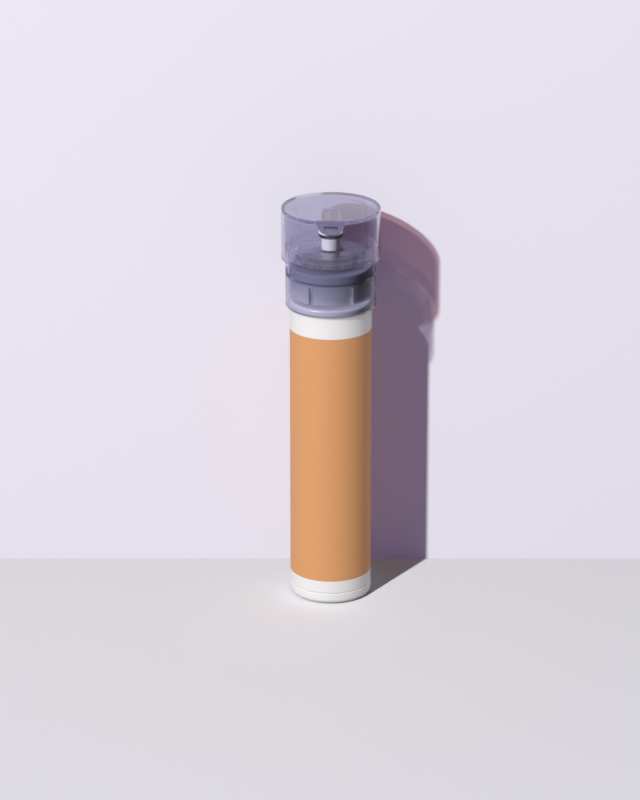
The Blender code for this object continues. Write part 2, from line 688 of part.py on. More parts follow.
def make_nozzle(look, parts, cutters):
    """The spout insert: a half-round face, a flat slotted channel and a riser on the core."""
    face = SPOUT_RADIUS - FIT_GAP
    back = spout_face + SPOUT_THICKNESS
    nozzle = disc_along_y("nozzle_insert", face, spout_face, back, head_top, parts, look["clear"])
    size = (2 * SPOUT_RADIUS + OVERRUN, SPOUT_THICKNESS + OVERRUN, SPOUT_RADIUS + OVERRUN)
    middle = (0, (spout_face + back) / 2, head_top - FIT_GAP + size[2] / 2)
    boolean(nozzle, block("face_top", size, middle, 0, None, cutters), "DIFFERENCE")
    front = spout_face + SPOUT_THICKNESS / 2
    size = (CHANNEL_WIDTH, -front, CHANNEL_HEIGHT)
    middle = (0, front / 2, nozzle_bottom + CHANNEL_HEIGHT / 2)
    boolean(nozzle, block("flat_channel", size, middle, 0, None, cutters), "UNION")
    outline = [(0, riser_top), (CORE_RADIUS, riser_top), (CORE_RADIUS, riser_bottom), (0, riser_bottom)]
    boolean(nozzle, turned("riser", outline, NARROW_SIDES, None, cutters), "UNION")
    size = (SLOT_WIDTH, head_radius + OVERRUN, SLOT_HEIGHT)
    middle = (0, -size[1] / 2, slot_middle)
    boolean(nozzle, block("outlet_slot", size, middle, 0, None, cutters), "DIFFERENCE")
    low = riser_bottom - OVERRUN
    outline = [(0, slot_middle), (OUTLET_RADIUS, slot_middle), (OUTLET_RADIUS, low), (0, low)]
    boolean(nozzle, turned("riser_bore", outline, NARROW_SIDES, None, cutters), "DIFFERENCE")
    return nozzle


def make_materials():
    """One look for each kind of plastic, rubber and steel in the object."""
    return {
        "white": plastic("white_plastic", (0.80, 0.80, 0.79), 0.35),
        "tan": plastic("tan_label", (0.68, 0.36, 0.17), 0.45),
        "clear": plastic("tinted_clear_plastic", (0.30, 0.29, 0.42), 0.15, alpha=0.5),
        "natural": plastic("natural_plastic", (0.72, 0.72, 0.70), 0.4),
        "soft": plastic("soft_seal", (0.50, 0.50, 0.50), 0.7),
        "steel": plastic("spring_steel", (0.55, 0.55, 0.56), 0.25, metallic=1.0),
    }


def main():
    """Builds every piece and hangs the moving ones on their joints' axes."""
    for old in list(bpy.data.objects):
        bpy.data.objects.remove(old)
    parts = new_collection("tinted_sunscreen_pump_bottle")
    cutters = new_collection("cutters")
    look = make_materials()

    make_bottle(look, parts)
    make_base_cap(look, parts, cutters)
    make_label(look, parts)
    make_gasket(look, parts)
    make_housing(look, parts, cutters)
    make_pump_cap(look, parts)
    make_closure(look, parts, cutters)
    make_lower_collar(look, parts)
    make_lock_collar(look, parts, cutters)
    make_spring(look, parts)

    follower = make_follower(look, parts)
    ball = make_ball(look, parts)
    piston = make_pump_piston(look, parts)
    rod = make_rod(look, parts)
    stem = make_stem(look, parts)
    shell = make_head_shell(look, parts, cutters)
    core = make_core(look, parts)
    nozzle = make_nozzle(look, parts, cutters)

    press = parent_on_axis("press_axis", stem_bottom, [rod, stem], parts)
    parent_on_axis("slip_axis", piston_bottom, [piston], parts, press)
    parent_on_axis("twist_axis", core_bottom, [shell, core, nozzle], parts, press)
    parent_on_axis("follower_axis", plug_top, [follower], parts)
    parent_on_axis("ball_axis", ball_centre, [ball], parts)


main()
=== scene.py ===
"""Looks of the tinted lotion's airless pump bottle: a white bottle with a tan label, two tinted
clear collars and a tinted clear press head. Metres, +Z up, the spout points to -Y."""

import math

import bmesh
import bpy
from mathutils import Matrix, Vector


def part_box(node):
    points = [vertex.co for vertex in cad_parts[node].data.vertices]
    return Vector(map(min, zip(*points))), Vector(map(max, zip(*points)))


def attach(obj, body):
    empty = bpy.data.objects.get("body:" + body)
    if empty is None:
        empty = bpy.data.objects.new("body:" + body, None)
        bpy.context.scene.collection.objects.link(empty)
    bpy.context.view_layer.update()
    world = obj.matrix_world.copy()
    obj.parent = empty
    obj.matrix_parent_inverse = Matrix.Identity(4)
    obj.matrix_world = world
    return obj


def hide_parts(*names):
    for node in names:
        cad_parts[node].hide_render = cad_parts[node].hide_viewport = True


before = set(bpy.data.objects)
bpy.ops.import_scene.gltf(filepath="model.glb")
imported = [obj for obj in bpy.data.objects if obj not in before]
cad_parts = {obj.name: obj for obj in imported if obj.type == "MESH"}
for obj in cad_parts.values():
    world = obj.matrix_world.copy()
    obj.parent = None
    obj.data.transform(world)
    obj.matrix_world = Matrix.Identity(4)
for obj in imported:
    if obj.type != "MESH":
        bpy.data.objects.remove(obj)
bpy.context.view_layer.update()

MM = 0.001

# Camera: the photograph's viewing angle, with the object a little right of the middle
IMAGE_HEIGHT = 800
AXIS_PIXEL = Vector((330.7, 401.0))
MIDDLE_PIXEL = Vector((320, 400))
VIEW_DISTANCE = 1.3
VIEW_ELEVATION = math.radians(20.6)
VIEW_HEIGHT = 0.070
FOCAL_PIXELS = 3792.5
SENSOR = 36.0

# Angle of the spout's side, measured about Z
FRONT = -math.pi / 2

# Round pieces
SIDES = 160
INNER_SIDES = 96
STEM_SIDES = 64
BORE_SIDES = 48
FILLET_STEPS = 4
BLOCK_EDGE_STEPS = 3
SHARP = math.radians(42)
FLAT_WEIGHT = 80
SAME_PLACE = 0.001 * MM

# Edge radii that several pieces share. SMALL is also a small step between two faces
FILM_EDGE = 0.03 * MM
CRISP_EDGE = 0.1 * MM
SMALL = 0.12 * MM
FINE_EDGE = 0.15 * MM
PLAIN_EDGE = 0.2 * MM
EASED_EDGE = 0.25 * MM
ROUND_EDGE = 0.3 * MM
SOFT_EDGE = 0.4 * MM
FULL_EDGE = 0.5 * MM

# How far a cutting block goes past the surface that it cuts
CUT_PAST = 1 * MM

# Sizes read from the frame
bottle_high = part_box("bottle")[1]
cap_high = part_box("base_cap")[1]
label_low, label_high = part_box("label_wrap")
closure_low, closure_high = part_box("snap_closure")
lower_low, lower_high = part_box("lower_collar")
lock_low, lock_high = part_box("lock_collar")
head_low, head_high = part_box("head_shell")
core_low, core_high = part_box("head_core")
stem_low, stem_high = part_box("pump_stem")
plate_low, plate_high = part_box("pump_cap")
spring_low, spring_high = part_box("return_spring")

body_radius = label_high.x
collar_radius = lower_high.x
head_radius = head_high.x


# Materials
NOISE_LOW = 0.3
NOISE_HIGH = 0.7
PLASTIC_IOR = 1.48
COAT_ROUGHNESS = 0.03
FAINT_RELIEF = 0.002 * MM
BODY_TINT = (0.12, 0.10, 0.36)


def new_material(name):
    """A new material, with its nodes, its links and its main shader."""
    made = bpy.data.materials.new(name)
    made.use_nodes = True
    nodes = made.node_tree.nodes
    return made, nodes, made.node_tree.links, nodes["Principled BSDF"]


def object_place(nodes):
    """The object's own coordinates."""
    return nodes.new("ShaderNodeTexCoord").outputs["Object"]


def noise(nodes, links, place, scale, detail=3, roughness=0.5):
    """A noise texture. A higher scale makes it finer."""
    texture = nodes.new("ShaderNodeTexNoise")
    texture.inputs["Scale"].default_value = scale
    texture.inputs["Detail"].default_value = detail
    texture.inputs["Roughness"].default_value = roughness
    links.new(place, texture.inputs["Vector"])
    return texture.outputs["Fac"]


def ranged(nodes, links, value, start, end, low=0.0, high=1.0):
    """A value between a start and an end, carried over to the range from low to high."""
    node = nodes.new("ShaderNodeMapRange")
    node.inputs["From Min"].default_value = start
    node.inputs["From Max"].default_value = end
    node.inputs["To Min"].default_value = low
    node.inputs["To Max"].default_value = high
    links.new(value, node.inputs["Value"])
    return node.outputs["Result"]


def uneven_gloss(nodes, links, value, shader, low, high):
    """A roughness that a noise value spreads from low to high."""
    roughness = ranged(nodes, links, value, NOISE_LOW, NOISE_HIGH, low, high)
    links.new(roughness, shader.inputs["Roughness"])


def height_of(nodes, links, place):
    """The Z part of a place."""
    split = nodes.new("ShaderNodeSeparateXYZ")
    links.new(place, split.inputs["Vector"])
    return split.outputs["Z"]


def vary(nodes, links, value, first, second):
    """A colour between two, by a value. Each is a fixed colour or another node's output."""
    node = nodes.new("ShaderNodeMix")
    node.data_type = "RGBA"
    for colour, socket in ((first, node.inputs[6]), (second, node.inputs[7])):
        if isinstance(colour, tuple):
            socket.default_value = (*colour, 1)
        else:
            links.new(colour, socket)
    links.new(value, node.inputs["Factor"])
    return node.outputs[2]


def mix_shaders(nodes, links, share, first, second):
    """A shader between two, by a share of the second."""
    mix = nodes.new("ShaderNodeMixShader")
    links.new(share, mix.inputs["Fac"])
    links.new(first, mix.inputs[1])
    links.new(second, mix.inputs[2])
    return mix.outputs["Shader"]


def see_through(nodes, colour):
    """A shader that lets rays straight through, tinted by a colour."""
    clear = nodes.new("ShaderNodeBsdfTransparent")
    clear.inputs["Color"].default_value = (*colour, 1)
    return clear.outputs["BSDF"]


def darkened(colour, share):
    """A colour with a share of its light."""
    return tuple(part * share for part in colour)


def bump(nodes, links, value, distance, shader):
    """A fine surface relief."""
    node = nodes.new("ShaderNodeBump")
    node.inputs["Strength"].default_value = 1.0
    node.inputs["Distance"].default_value = distance
    links.new(value, node.inputs["Height"])
    links.new(node.outputs["Normal"], shader.inputs["Normal"])


def moulded_plastic(name, colour, shade, roughness, grain, relief):
    """An opaque moulded plastic: faint clouding, uneven gloss and a fine moulded grain."""
    made, nodes, links, shader = new_material(name)
    place = object_place(nodes)
    cloud = noise(nodes, links, place, scale=120)
    fine = noise(nodes, links, place, scale=grain)
    links.new(vary(nodes, links, cloud, colour, shade), shader.inputs["Base Color"])
    uneven_gloss(nodes, links, fine, shader, low=0.85 * roughness, high=1.2 * roughness)
    bump(nodes, links, fine, relief, shader)
    shader.inputs["IOR"].default_value = PLASTIC_IOR
    return made


def clear_plastic(
    name, tint, lamp_tint, roughness=0.02, milk=0.002, ior=1.2,
    depth=0, coat=0.0, fade=None, foot_coat=None,
):
    """A tinted clear plastic. Part of it is milky, and lamps shine through it in the lamp tint.
    Its depth darkens long ways through it. A fade gives the tint at the foot and the two heights
    between which it goes over to the piece's own tint. The coat goes over from the foot's coat to
    its full weight between the same heights, if a foot's coat is given."""
    made, nodes, links, shader = new_material(name)
    place = object_place(nodes)
    flow = noise(nodes, links, place, scale=90, detail=2)
    fine = noise(nodes, links, place, scale=900)
    colour = vary(nodes, links, flow, tint, darkened(tint, share=0.94))
    shader.inputs["Coat Weight"].default_value = coat
    if fade:
        foot_tint, low, high = fade
        height = height_of(nodes, links, place)
        colour = vary(nodes, links, ranged(nodes, links, height, low, high), foot_tint, colour)
        if foot_coat is not None:
            gloss = ranged(nodes, links, height, low, high, foot_coat, coat)
            links.new(gloss, shader.inputs["Coat Weight"])
    links.new(colour, shader.inputs["Base Color"])
    uneven_gloss(nodes, links, fine, shader, low=0.8 * roughness, high=1.25 * roughness)
    bump(nodes, links, flow, FAINT_RELIEF, shader)
    shader.inputs["IOR"].default_value = ior
    shader.inputs["Coat Roughness"].default_value = COAT_ROUGHNESS
    shader.inputs["Transmission Weight"].default_value = 1 - milk
    is_lamp = nodes.new("ShaderNodeLightPath").outputs["Is Shadow Ray"]
    surface = mix_shaders(nodes, links, is_lamp, shader.outputs["BSDF"], see_through(nodes, lamp_tint))
    links.new(surface, nodes["Material Output"].inputs["Surface"])
    if depth:
        body = nodes.new("ShaderNodeVolumeAbsorption")
        body.inputs["Color"].default_value = (*BODY_TINT, 1)
        body.inputs["Density"].default_value = depth
        links.new(body.outputs["Volume"], nodes["Material Output"].inputs["Volume"])
    return made


def steel(name, colour, roughness):
    """Drawn or polished steel with fine streaks."""
    made, nodes, links, shader = new_material(name)
    fine = noise(nodes, links, object_place(nodes), scale=2500)
    shade = darkened(colour, share=0.85)
    links.new(vary(nodes, links, fine, colour, shade), shader.inputs["Base Color"])
    uneven_gloss(nodes, links, fine, shader, low=0.8 * roughness, high=1.3 * roughness)
    shader.inputs["Metallic"].default_value = 1.0
    return made


def label_film(name, colour, shade):
    """The label's printed film: even ink with a faint mottle under a satin coat."""
    made, nodes, links, shader = new_material(name)
    place = object_place(nodes)
    mottle = noise(nodes, links, place, scale=700, detail=4, roughness=0.6)
    fine = noise(nodes, links, place, scale=4000, detail=2)
    links.new(vary(nodes, links, mottle, colour, shade), shader.inputs["Base Color"])
    uneven_gloss(nodes, links, mottle, shader, low=0.42, high=0.52)
    bump(nodes, links, fine, FAINT_RELIEF, shader)
    shader.inputs["Specular IOR Level"].default_value = 0.22
    return made


# Shapes
SIDE_SHARE = 0.48


def corner_arc(before, corner, after, radius):
    """The points that round one corner of an outline. A short side cuts the radius down."""
    to_before = (before - corner).normalized()
    to_after = (after - corner).normalized()
    half = to_before.angle(to_after) / 2
    room_before = SIDE_SHARE * (before - corner).length
    room_after = SIDE_SHARE * (after - corner).length
    reach = min(radius / math.tan(half), room_before, room_after)
    radius = reach * math.tan(half)
    centre = corner + (to_before + to_after).normalized() * radius / math.sin(half)
    first = corner + to_before * reach - centre
    last = corner + to_after * reach - centre
    turn = first.angle(last)
    points = []
    for step in range(FILLET_STEPS + 1):
        share = step / FILLET_STEPS
        ahead = math.sin(share * turn)
        behind = math.sin((1 - share) * turn)
        points.append(centre + (first * behind + last * ahead) / math.sin(turn))
    return points


def rounded(outline):
    """An outline's points, with every corner off the axis rounded by its third value."""
    places = [Vector(point[:2]) for point in outline]
    count = len(outline)
    points = []
    for number, point in enumerate(outline):
        radius = point[2] if len(point) > 2 else 0
        on_end = outline[0][0] == 0 and number in (0, count - 1)
        if radius and not on_end:
            before = places[number - 1]
            after = places[(number + 1) % count]
            points += corner_arc(before, places[number], after, radius)
        else:
            points.append(places[number])
    return points


def finish_mesh(name, made_mesh):
    """An object of a made mesh, with doubled points joined and its faces turned outward."""
    bmesh.ops.remove_doubles(made_mesh, verts=made_mesh.verts, dist=SAME_PLACE)
    bmesh.ops.recalc_face_normals(made_mesh, faces=made_mesh.faces)
    mesh = bpy.data.meshes.new(name)
    made_mesh.to_mesh(mesh)
    made_mesh.free()
    made = bpy.data.objects.new(name, mesh)
    bpy.context.scene.collection.objects.link(made)
    return made


def section_at(angle, points):
    """The places of points of radius and height, turned about Z by an angle."""
    across = math.cos(angle)
    along = math.sin(angle)
    return [(radius * across, radius * along, height) for radius, height in points]


def skin(name, sections, closed=True):
    """An object with faces from each section to the next, and from the last to the first. A closed
    section goes back to its own first place."""
    made_mesh = bmesh.new()
    rows = [[made_mesh.verts.new(place) for place in section] for section in sections]
    for number, row in enumerate(rows):
        following = rows[(number + 1) % len(rows)]
        for here in range(len(row) if closed else len(row) - 1):
            after = (here + 1) % len(row)
            made_mesh.faces.new((row[here], following[here], following[after], row[after]))
    return finish_mesh(name, made_mesh)


def turned(name, outline, sides=SIDES):
    """A piece turned about Z from an outline that runs down its outer side. An outline that starts
    on the axis ends there too and stays open."""
    points = rounded(outline)
    sections = [section_at(2 * math.pi * side / sides, points) for side in range(sides)]
    return skin(name, sections, closed=outline[0][0] > 0)


def bar_along_y(name, radius, front, back, height):
    """A round bar that lies along Y."""
    made_mesh = bmesh.new()
    bmesh.ops.create_cone(
        made_mesh,
        cap_ends=True,
        segments=INNER_SIDES,
        radius1=radius,
        radius2=radius,
        depth=back - front,
    )
    lie = Matrix.Translation((0, (front + back) / 2, height)) @ Matrix.Rotation(math.pi / 2, 4, "X")
    bmesh.ops.transform(made_mesh, matrix=lie, verts=made_mesh.verts)
    return finish_mesh(name, made_mesh)


def block(name, size, middle, turn=0.0, edge=0.0):
    """A box, turned about the axis, with its edges rounded if asked."""
    made_mesh = bmesh.new()
    bmesh.ops.create_cube(made_mesh, size=1)
    bmesh.ops.scale(made_mesh, vec=size, verts=made_mesh.verts)
    if edge:
        bmesh.ops.bevel(
            made_mesh,
            geom=made_mesh.edges[:],
            offset=edge,
            segments=BLOCK_EDGE_STEPS,
            profile=0.5,
            affect="EDGES",
        )
    place = Matrix.Rotation(turn, 4, "Z") @ Matrix.Translation(middle)
    bmesh.ops.transform(made_mesh, matrix=place, verts=made_mesh.verts)
    return finish_mesh(name, made_mesh)


def apply_modifiers(piece):
    """Keeps a piece's evaluated mesh and drops its modifiers."""
    graph = bpy.context.evaluated_depsgraph_get()
    mesh = bpy.data.meshes.new_from_object(piece.evaluated_get(graph))
    piece.modifiers.clear()
    piece.data = mesh


def combine(piece, others, operation):
    """Cuts a piece by others or joins them to it, and removes them."""
    for other in others:
        step = piece.modifiers.new("combine", "BOOLEAN")
        step.operation = operation
        step.solver = "EXACT"
        step.object = other
        apply_modifiers(piece)
        bpy.data.objects.remove(other)


def smooth(piece):
    """Smooth shading that keeps flat faces flat."""
    piece.data.shade_smooth()
    piece.data.set_sharp_from_angle(angle=SHARP)
    weigh = piece.modifiers.new("even normals", "WEIGHTED_NORMAL")
    weigh.keep_sharp = True
    weigh.weight = FLAT_WEIGHT


# Every dressed piece and solid, for the lamps
pieces = []


def dress(piece, material, body, node):
    """Gives a piece its material, the body it rides and the node it stands for."""
    pieces.append(piece)
    piece.data.materials.clear()
    piece.data.materials.append(material)
    if piece.type == "MESH":
        smooth(piece)
    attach(piece, body)
    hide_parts(node)
    return piece


# Bottle
RECESS = 0.22 * MM
SEAM = 0.10 * MM
LABEL_GAP = 0.04 * MM
BORE = 12.2 * MM
NECK_BORE = 10.4 * MM
NECK_RADIUS = 12.0 * MM
BEAD_RADIUS = 12.5 * MM
BEAD_TOP_DROP = 3.0 * MM
BEAD_HEIGHT = 1.5 * MM
BEAD_LEAD = 0.5 * MM
SHOULDER_RISE = 2.3 * MM
SHOULDER_FOOT = 0.3 * MM
SHOULDER_EDGE = 1.1 * MM
TOWER_BORE = 7.66 * MM
WEB_THICKNESS = 1.0 * MM
BORE_TOP = 100.0 * MM
BORE_TAPER = 3.0 * MM
BORE_EDGE = 1.0 * MM
CAP_LINE = 4.05 * MM
tube_top = lower_low.z + SHOULDER_FOOT
shoulder_top = lower_low.z + SHOULDER_RISE


def make_neck(look):
    """The bottle's neck with its snap bead."""
    top = bottle_high.z
    bead = top - BEAD_TOP_DROP
    under = bead - BEAD_HEIGHT
    outline = [(NECK_BORE, top, ROUND_EDGE), (NECK_RADIUS, top, ROUND_EDGE)]
    outline += [(NECK_RADIUS, bead, CRISP_EDGE), (BEAD_RADIUS, bead - BEAD_LEAD, PLAIN_EDGE)]
    outline += [(BEAD_RADIUS, under, FINE_EDGE), (NECK_RADIUS, under, CRISP_EDGE)]
    outline += [(NECK_RADIUS, shoulder_top), (NECK_BORE, shoulder_top)]
    neck = turned("bottle_neck", outline)
    return dress(neck, look["neck"], "bottle_body", "bottle")


def make_tube(look):
    """The white tube with the label's recess."""
    recess_top = label_high.z + LABEL_GAP
    recess_foot = label_low.z - LABEL_GAP
    recess_radius = body_radius - RECESS
    tube_foot = CAP_LINE + SEAM
    outline = [(NECK_BORE, tube_top), (body_radius, tube_top), (body_radius, recess_top, SMALL)]
    outline += [(recess_radius, recess_top, FILM_EDGE), (recess_radius, recess_foot, FILM_EDGE)]
    outline += [(body_radius, recess_foot, SMALL)]
    outline += [(body_radius, tube_foot, EASED_EDGE), (BORE, tube_foot, PLAIN_EDGE)]
    outline += [(BORE, BORE_TOP, BORE_EDGE), (NECK_BORE, BORE_TOP + BORE_TAPER, BORE_EDGE)]
    tube = turned("bottle_tube", outline)
    return dress(tube, look["white"], "bottle_body", "bottle")


def make_shoulder(look):
    """The shoulder inside the lower collar, closed in on the pump's tower by a thin web."""
    web = shoulder_top - WEB_THICKNESS
    outline = [(TOWER_BORE, shoulder_top, SMALL), (body_radius, shoulder_top, SHOULDER_EDGE)]
    outline += [(body_radius, tube_top), (NECK_BORE, tube_top)]
    outline += [(NECK_BORE, web, SMALL), (TOWER_BORE, web, SMALL)]
    shoulder = turned("bottle_shoulder", outline)
    # Its material is the white plastic darkened, as painted shade
    return dress(shoulder, look["shoulder"], "bottle_body", "bottle")


# Base cap
CAP_PROUD = 0.06 * MM
CAP_FILLET = 2.5 * MM
FOOT_WIDTH = 1.3 * MM
FOOT_HEIGHT = 0.8 * MM
CAP_FLOOR = 1.4 * MM
PLUG_RADIUS = 11.95 * MM
PLUG_WALL = 1.2 * MM
VENT_RADIUS = 0.8 * MM
NOTCH_WIDTH = 1.2 * MM
NOTCH_HEIGHT = 0.5 * MM
NOTCH_LENGTH = 8 * MM
NOTCH_INSET = 1.5 * MM
NOTCH_TURN = math.radians(11)


def make_base(look):
    """The snapped-in base, with a round edge, a foot ring, a centre vent and a vent notch."""
    radius = body_radius + CAP_PROUD
    foot_outer = radius - CAP_FILLET
    foot_inner = foot_outer - FOOT_WIDTH
    plug_inner = PLUG_RADIUS - PLUG_WALL
    floor = FOOT_HEIGHT + CAP_FLOOR
    outline = [(plug_inner, cap_high.z, ROUND_EDGE), (PLUG_RADIUS, cap_high.z, FULL_EDGE)]
    outline += [(PLUG_RADIUS, CAP_LINE, CRISP_EDGE), (radius, CAP_LINE, EASED_EDGE)]
    outline += [(radius, 0, CAP_FILLET), (foot_inner, 0, ROUND_EDGE)]
    outline += [(foot_inner - FOOT_HEIGHT, FOOT_HEIGHT, SOFT_EDGE)]
    outline += [(VENT_RADIUS, FOOT_HEIGHT, CRISP_EDGE), (VENT_RADIUS, floor, CRISP_EDGE)]
    outline += [(plug_inner, floor, FULL_EDGE)]
    base = turned("base_foot", outline)
    size = (NOTCH_LENGTH, NOTCH_WIDTH, 2 * NOTCH_HEIGHT)
    middle = (foot_inner - NOTCH_INSET + NOTCH_LENGTH / 2, 0, 0)
    combine(base, [block("notch", size, middle, FRONT + NOTCH_TURN, PLAIN_EDGE)], "DIFFERENCE")
    return dress(base, look["white"], "bottle_body", "base_cap")


# Label
LABEL_SEAT = 0.02 * MM
LABEL_SEAM_STEP = 0.04 * MM
LABEL_OVERLAP = math.radians(14)
LABEL_STEPS = 240


def make_label(look):
    """The label's film: a wrap that laps over its own end at the back."""
    inner = body_radius - RECESS + LABEL_SEAT
    low = label_low.z
    high = label_high.z
    heights = [low, low, low + FILM_EDGE, high - FILM_EDGE, high, high]
    sections = []
    for step in range(LABEL_STEPS):
        from_seam = 2 * math.pi * step / LABEL_STEPS
        outer = body_radius if from_seam < LABEL_OVERLAP else body_radius - LABEL_SEAM_STEP
        radii = [inner, outer - FILM_EDGE, outer, outer, outer - FILM_EDGE, inner]
        sections.append(section_at(math.pi / 2 + from_seam, zip(radii, heights)))
    film = skin("label_film", sections)
    return dress(film, look["tan"], "bottle_body", "label_wrap")


# Closure under the clear collars, and the pump's top
CLOSURE_HOOK = 2.2 * MM
CLOSURE_WALL = 1.2 * MM
SLIT_WIDTH = 1.0 * MM
SLIT_HEIGHT = 6.0 * MM
SLIT_PAIRS = 3
HOOK_GAP = 0.25 * MM
LIP_GAP = 0.2 * MM
LIP_THICKNESS = 1.0 * MM
PLATE_HOLE = 2.25 * MM
PLATE_WALL = 0.75 * MM
PLATE_THICKNESS = 1.0 * MM


def make_closure(look):
    """The snap ring on the neck, slit into six fingers."""
    radius = closure_high.x
    inner = radius - CLOSURE_WALL
    hook = NECK_RADIUS + HOOK_GAP
    hook_top = closure_low.z + CLOSURE_HOOK
    lip = plate_high.x + LIP_GAP
    under = closure_high.z - LIP_THICKNESS
    outline = [(lip, closure_high.z, PLAIN_EDGE), (radius, closure_high.z, FULL_EDGE)]
    outline += [(radius, closure_low.z, ROUND_EDGE), (hook, closure_low.z, ROUND_EDGE)]
    outline += [(hook, hook_top, ROUND_EDGE), (inner, hook_top, PLAIN_EDGE)]
    outline += [(inner, under, ROUND_EDGE), (lip, under, PLAIN_EDGE)]
    ring = turned("closure_ring", outline)
    size = (2 * radius + 4 * CUT_PAST, SLIT_WIDTH, SLIT_HEIGHT + 2 * CUT_PAST)
    middle = (0, 0, closure_low.z + SLIT_HEIGHT / 2 - CUT_PAST)
    slits = [block("slit", size, middle, math.pi * number / SLIT_PAIRS) for number in range(SLIT_PAIRS)]
    combine(ring, slits, "DIFFERENCE")
    return dress(ring, look["closure"], "bottle_body", "snap_closure")


def make_plate(look):
    """The plate that closes the spring tower round the stem."""
    radius = plate_high.x
    inner = radius - PLATE_WALL
    under = plate_high.z - PLATE_THICKNESS
    outline = [(PLATE_HOLE, plate_high.z, PLAIN_EDGE), (radius, plate_high.z, ROUND_EDGE)]
    outline += [(radius, plate_low.z, FINE_EDGE), (inner, plate_low.z, FINE_EDGE)]
    outline += [(inner, under, PLAIN_EDGE), (PLATE_HOLE, under, CRISP_EDGE)]
    plate = turned("pump_plate", outline, INNER_SIDES)
    return dress(plate, look["smoky"], "bottle_body", "pump_cap")


# Clear collars
COLLAR_WALL = 1.1 * MM
LOWER_EDGE = 0.85 * MM


def make_lower_collar(look):
    """The lower clear collar."""
    inner = collar_radius - COLLAR_WALL
    outline = [(inner, lower_high.z, PLAIN_EDGE), (collar_radius, lower_high.z, EASED_EDGE)]
    outline += [(collar_radius, lower_low.z, LOWER_EDGE), (inner, lower_low.z, PLAIN_EDGE)]
    collar = turned("collar_lower", outline)
    return dress(collar, look["lower"], "bottle_body", "lower_collar")


RIM_TOP = 127.2 * MM
RIM_EDGE = 0.45 * MM
CHANNEL_TOP = 123.2 * MM
CHANNEL_FLOOR = 0.9 * MM
SEAT_BOTTOM = 120.0 * MM
DECK_TOP = 125.2 * MM
DECK_THICKNESS = 1.0 * MM
DECK_HOLE = 4.7 * MM
DECK_HOLE_EDGE = 0.35 * MM
CHANNEL_INNER = 11.2 * MM
SEAT_WALL = 1.0 * MM
STOP_WIDTH = 1.2 * MM
STOP_DEPTH = 1.6 * MM
STOP_INNER = 12.95 * MM
STOP_ROOT = 0.4 * MM
FIN_TURN = math.radians(60)
STOP_SWING = math.radians(11.6)
TWIST_RANGE = math.radians(90)


def make_lock_collar(look):
    """The upper clear collar: rim, channel for the head's skirt, deck round the stem, turn stops."""
    inner = collar_radius - COLLAR_WALL
    channel_bottom = CHANNEL_TOP - CHANNEL_FLOOR
    seat_inner = CHANNEL_INNER - SEAT_WALL
    seat_outer = CHANNEL_INNER + SEAT_WALL
    under_deck = DECK_TOP - DECK_THICKNESS
    outline = [(inner, RIM_TOP, EASED_EDGE), (collar_radius, RIM_TOP, RIM_EDGE)]
    outline += [(collar_radius, lock_low.z, EASED_EDGE), (inner, lock_low.z, PLAIN_EDGE)]
    outline += [(inner, channel_bottom, SOFT_EDGE), (seat_outer, channel_bottom, ROUND_EDGE)]
    outline += [(seat_outer, SEAT_BOTTOM, PLAIN_EDGE), (seat_inner, SEAT_BOTTOM, PLAIN_EDGE)]
    outline += [(seat_inner, under_deck, SOFT_EDGE), (DECK_HOLE, under_deck, PLAIN_EDGE)]
    outline += [(DECK_HOLE, DECK_TOP, DECK_HOLE_EDGE), (CHANNEL_INNER, DECK_TOP, SOFT_EDGE)]
    outline += [(CHANNEL_INNER, CHANNEL_TOP, SOFT_EDGE), (inner, CHANNEL_TOP, SOFT_EDGE)]
    collar = turned("collar_upper", outline)
    low = CHANNEL_TOP - STOP_ROOT
    size = (STOP_DEPTH, STOP_WIDTH, lock_high.z - low)
    middle = (STOP_INNER + STOP_DEPTH / 2, 0, low + size[2] / 2)
    stops = []
    for swing in (-STOP_SWING, TWIST_RANGE + STOP_SWING):
        stops.append(block("stop", size, middle, FRONT + FIN_TURN + swing, FINE_EDGE))
    combine(collar, stops, "UNION")
    return dress(collar, look["lock"], "bottle_body", "lock_collar")


# Press head
HEAD_WALL = 1.1 * MM
HEAD_PLATE = 1.5 * MM
HEAD_FOOT_EDGE = 0.9 * MM
SKIRT_RADIUS = 12.6 * MM
SKIRT_WALL = 1.0 * MM
SKIRT_BOTTOM = 127.3 * MM
SKIRT_GAP = 0.02 * MM
FIN_WIDTH = 3.0 * MM
FIN_DEPTH = 0.8 * MM
FIN_ROOT = 0.5 * MM
SPOUT_RADIUS = 4.9 * MM
SPOUT_GAP = 0.05 * MM
SPOUT_THICKNESS = 1.1 * MM
SPOUT_DROP = 0.02 * MM
CHANNEL_WIDTH = 5.5 * MM
CHANNEL_HEIGHT = 2.4 * MM
WAY_RISE = 0.3 * MM
SLOT_WIDTH = 4.6 * MM
SLOT_HEIGHT = 0.8 * MM
SLOT_TOP_WALL = 0.4 * MM
spout_face = -math.sqrt(head_radius**2 - SPOUT_RADIUS**2)
spout_back = spout_face + SPOUT_THICKNESS
nozzle_top = head_high.z - HEAD_PLATE
slot_middle = nozzle_top - SLOT_TOP_WALL - SLOT_HEIGHT / 2


